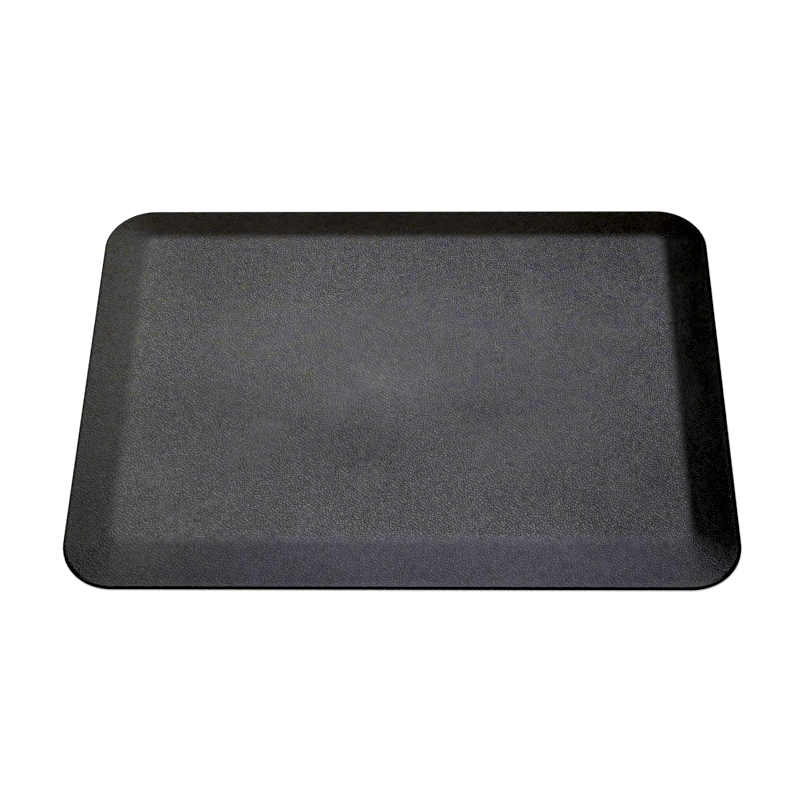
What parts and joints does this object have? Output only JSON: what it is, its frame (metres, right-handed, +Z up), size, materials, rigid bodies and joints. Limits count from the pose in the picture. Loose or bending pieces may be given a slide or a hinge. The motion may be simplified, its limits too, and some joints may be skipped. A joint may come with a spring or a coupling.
{
  "type": "anti-fatigue standing mat",
  "caption": "Rounded rectangular cushioned floor mat with a leather-grain top, a bevelled border that slopes down to a thin rim, and a flat non-slip base, for standing at a desk.",
  "frame": {"origin": "centre of the underside, on the floor", "axes": "+Z up, +X along the long side, +Y towards the back edge, away from the person standing in front"},
  "size_m": [0.8128, 0.6096, 0.0191],
  "materials": {
    "skin": "satin black polyurethane with a fine pebbled leather grain",
    "foam": "matt charcoal open-cell polyurethane foam",
    "base": "matt black non-slip rubber with a fine grip pattern underneath"
  },
  "bodies": {
    "root": {"top_skin": "skin", "foam_core": "foam", "base_sheet": "base"}
  },
  "joints": []
}
